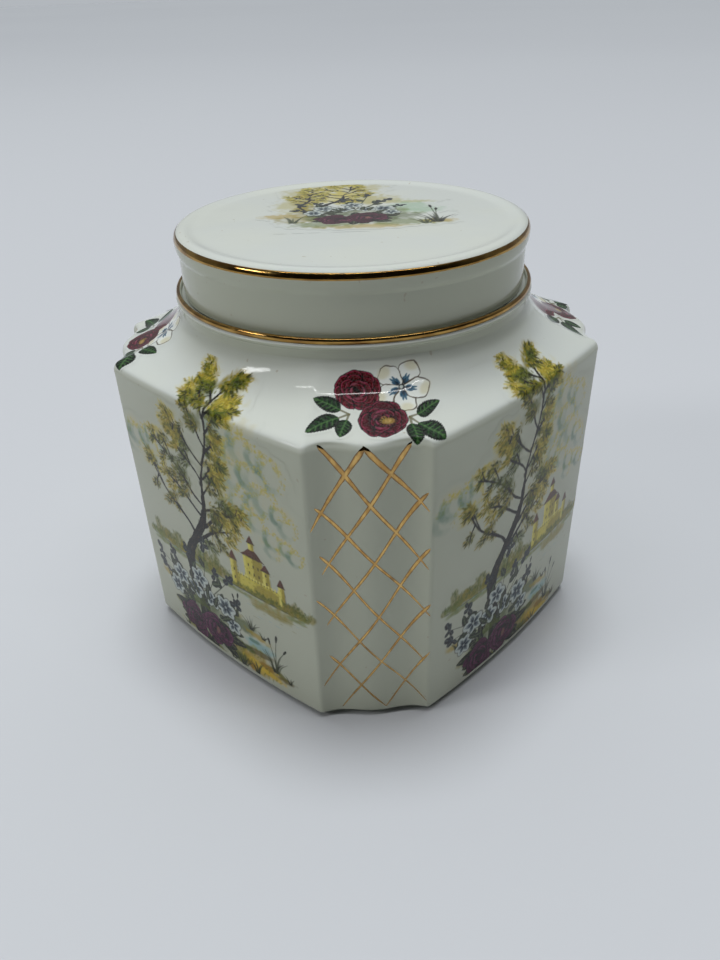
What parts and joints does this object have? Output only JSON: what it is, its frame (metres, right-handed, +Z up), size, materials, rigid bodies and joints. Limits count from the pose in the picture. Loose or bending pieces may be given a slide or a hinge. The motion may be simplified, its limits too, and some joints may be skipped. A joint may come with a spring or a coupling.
{
  "type": "lidded sugar bowl",
  "caption": "Square lidded sugar jar in white glazed earthenware with fluted corners, a round neck and a loose drop-in drum lid.",
  "frame": {"origin": "on the table plane, under the middle of the foot", "axes": "+Z up through the neck and lid; X and Y square to the four faces, with the corner panels on the diagonals"},
  "size_m": [0.1264, 0.1264, 0.1258],
  "materials": {
    "jar_glaze": "glossy off-white glaze over printed landscapes and sprays of roses, gilt lip and gilt trellis at the corners",
    "lid_glaze": "glossy off-white glaze over a printed spray, gilt edge",
    "gilding": "polished bright gold, brushed on by hand",
    "transfer": "coloured prints fired into the glaze"
  },
  "bodies": {
    "jar": {"jar": "jar_glaze"},
    "lid": {"lid": "lid_glaze"}
  },
  "joints": [
    {"name": "lid_lift", "type": "slide", "parent": "jar", "child": "lid", "axis": [0, 0, 1], "range_m": [0, 0.04]}
  ]
}
